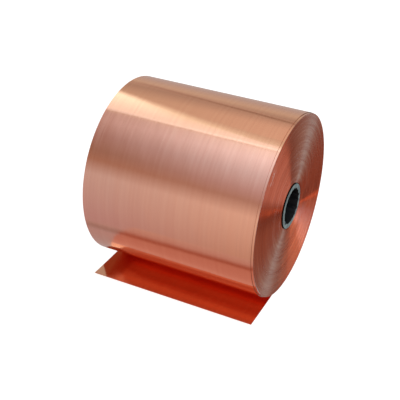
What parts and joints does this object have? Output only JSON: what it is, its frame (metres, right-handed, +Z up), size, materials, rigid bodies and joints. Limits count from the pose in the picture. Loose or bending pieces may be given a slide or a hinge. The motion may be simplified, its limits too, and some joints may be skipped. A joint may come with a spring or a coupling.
{
  "type": "copper foil roll",
  "caption": "Free-standing coil of bare copper foil strip wound on a dark plastic core tube, with a short free end lying flat in front.",
  "frame": {"origin": "on the bench plane, at the middle of the whole object's footprint; the coil touches the bench along y = 0", "axes": "+X along the coil's axis and its bore, +Z up, -Y the way the free end of the foil points"},
  "size_m": [0.1298, 0.1324, 0.1325],
  "materials": {
    "copper_foil": "bright rolled copper foil with fine marks along the strip",
    "core_plastic": "near-black rigid plastic pipe, scuffed grey on its saw-cut ends",
    "tape": "thin double-sided adhesive tape"
  },
  "bodies": {
    "outer_turn": {"foil_outer_turn": "copper_foil", "foil_foot": "copper_foil", "foil_paid_out": "copper_foil"},
    "roll": {"core_tube": "core_plastic", "starter_tape": "tape", "foil_first_turn": "copper_foil", "foil_pack": "copper_foil"},
    "tail_start": {"foil_tail_start": "copper_foil"},
    "tail_middle": {"foil_tail_middle": "copper_foil"},
    "tail_end": {"foil_tail_end": "copper_foil"}
  },
  "joints": [
    {"name": "roll_turn", "type": "hinge", "parent": "outer_turn", "child": "roll", "pos_m": [0.00105, 0, 0.06625], "axis": [-1, 0, 0], "range_deg": [0, 360]},
    {"name": "foil_pull", "type": "slide", "parent": "outer_turn", "child": "tail_start", "axis": [0, -1, 0], "range_m": [0, 0.4173], "deforming": ["foil_paid_out"]},
    {"name": "tail_lift", "type": "hinge", "parent": "tail_start", "child": "tail_middle", "pos_m": [0, -0.03, 0.0002], "axis": [-1, 0, 0], "range_deg": [0, 35]},
    {"name": "tail_curl", "type": "hinge", "parent": "tail_middle", "child": "tail_end", "pos_m": [0, -0.044, 0.0002], "axis": [-1, 0, 0], "range_deg": [0, 20]}
  ],
  "couplings": [
    {"joint": "foil_pull", "follows": "roll_turn", "m_per_rad": 0.06625}
  ]
}
